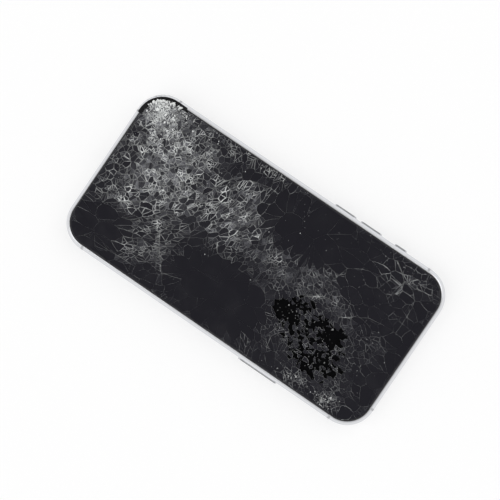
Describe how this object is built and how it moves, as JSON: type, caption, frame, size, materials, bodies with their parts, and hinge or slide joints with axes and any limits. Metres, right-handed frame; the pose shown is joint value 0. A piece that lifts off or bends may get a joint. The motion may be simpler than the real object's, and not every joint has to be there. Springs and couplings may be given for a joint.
{
  "type": "shattered screen phone",
  "caption": "Flat metal-framed phone with a shattered black glass screen, sprung rim at the struck corner, side buttons, card tray and its inner parts.",
  "frame": {"origin": "on the back glass, under the middle of the phone", "axes": "+Y to the phone's top end, +X to the side with the wake button, +Z out of the screen"},
  "size_m": [0.072, 0.1436, 0.0077],
  "materials": {
    "frame_metal": "satin silver steel with a polished edge",
    "tray_metal": "satin silver",
    "antenna_plastic": "pale grey moulded plastic",
    "back_glass": "black backed glass, polished",
    "cover_glass": "clear glass, shattered, over a black display",
    "window_glass": "dark coated glass",
    "flash_plastic": "pale diffuser",
    "clear_adhesive": "clear adhesive over black",
    "display": "black, switched off",
    "steel_sheet": "plain steel sheet",
    "black_plastic": "fine matt black",
    "gasket_rubber": "matt black",
    "battery_wrap": "black wrapped pouch",
    "adhesive_tape": "matt tape",
    "flex_circuit": "amber film",
    "circuit_board": "dark green solder mask",
    "chip_plastic": "matt black",
    "screw_steel": "bright steel",
    "weight_metal": "dense grey metal",
    "card_plastic": "plain card",
    "mesh_steel": "dark woven mesh",
    "coil_copper": "enamelled copper",
    "ferrite": "dark grey sheet"
  },
  "bodies": {
    "phone": {"frame": "frame_metal", "antenna_breaks": "antenna_plastic", "rear_glass": "back_glass", "camera_ring": "frame_metal", "camera_window": "window_glass", "flash_lens": "flash_plastic", "cover_glass": "cover_glass", "glass_adhesive": "clear_adhesive", "display_panel": "display", "display_shield": "steel_sheet", "display_bracket": "black_plastic", "gasket": "gasket_rubber", "battery": "battery_wrap", "battery_adhesive": "adhesive_tape", "battery_cable": "flex_circuit", "logic_board": "circuit_board", "board_chips": "chip_plastic", "board_shields": "steel_sheet", "board_screws": "screw_steel", "display_cable": "flex_circuit", "sim_reader": "steel_sheet", "rear_camera": "black_plastic", "camera_bracket": "steel_sheet", "front_camera": "black_plastic", "earpiece": "black_plastic", "earpiece_mesh": "mesh_steel", "sensor_flex": "flex_circuit", "top_antenna": "black_plastic", "loudspeaker": "black_plastic", "speaker_mesh": "mesh_steel", "vibrator_case": "steel_sheet", "vibrator_shafts": "screw_steel", "charge_port": "steel_sheet", "port_tongue": "black_plastic", "dock_flex": "flex_circuit", "microphone": "steel_sheet", "side_key_flex": "flex_circuit", "volume_key_flex": "flex_circuit", "key_brackets": "steel_sheet", "ring_switch_base": "black_plastic", "bottom_screws": "screw_steel", "charging_coil": "coil_copper", "ferrite_sheet": "ferrite"},
    "side_button": {"side_button": "frame_metal"},
    "volume_up": {"volume_up_button": "frame_metal"},
    "volume_down": {"volume_down_button": "frame_metal"},
    "ring_switch": {"ring_switch": "frame_metal"},
    "sim_tray": {"sim_tray": "tray_metal", "sim_card": "card_plastic"},
    "vibrator_mass": {"vibrator_mass": "weight_metal"},
    "wide_lens": {"wide_lens": "black_plastic"},
    "tele_lens": {"tele_lens": "black_plastic"}
  },
  "joints": [
    {"name": "side_button_press", "type": "slide", "parent": "phone", "child": "side_button", "axis": [-1, 0, 0], "range_m": [0, 0.00025], "stiffness_N_per_m": 2000, "springref_m": -0.0001},
    {"name": "volume_up_press", "type": "slide", "parent": "phone", "child": "volume_up", "axis": [1, 0, 0], "range_m": [0, 0.00025], "stiffness_N_per_m": 2000, "springref_m": -0.0001},
    {"name": "volume_down_press", "type": "slide", "parent": "phone", "child": "volume_down", "axis": [1, 0, 0], "range_m": [0, 0.00025], "stiffness_N_per_m": 2000, "springref_m": -0.0001},
    {"name": "ring_switch_slide", "type": "slide", "parent": "phone", "child": "ring_switch", "axis": [0, 0, -1], "range_m": [0, 0.0009]},
    {"name": "sim_tray_slide", "type": "slide", "parent": "phone", "child": "sim_tray", "axis": [1, 0, 0], "range_m": [0, 0.016]},
    {"name": "vibrator_slide", "type": "slide", "parent": "phone", "child": "vibrator_mass", "axis": [1, 0, 0], "range_m": [-0.0008, 0.0008], "stiffness_N_per_m": 1500},
    {"name": "wide_lens_focus", "type": "slide", "parent": "phone", "child": "wide_lens", "axis": [0, 0, -1], "range_m": [0, 0.0002], "stiffness_N_per_m": 200, "springref_m": -0.0001},
    {"name": "tele_lens_focus", "type": "slide", "parent": "phone", "child": "tele_lens", "axis": [0, 0, -1], "range_m": [0, 0.0002], "stiffness_N_per_m": 200, "springref_m": -0.0001}
  ]
}
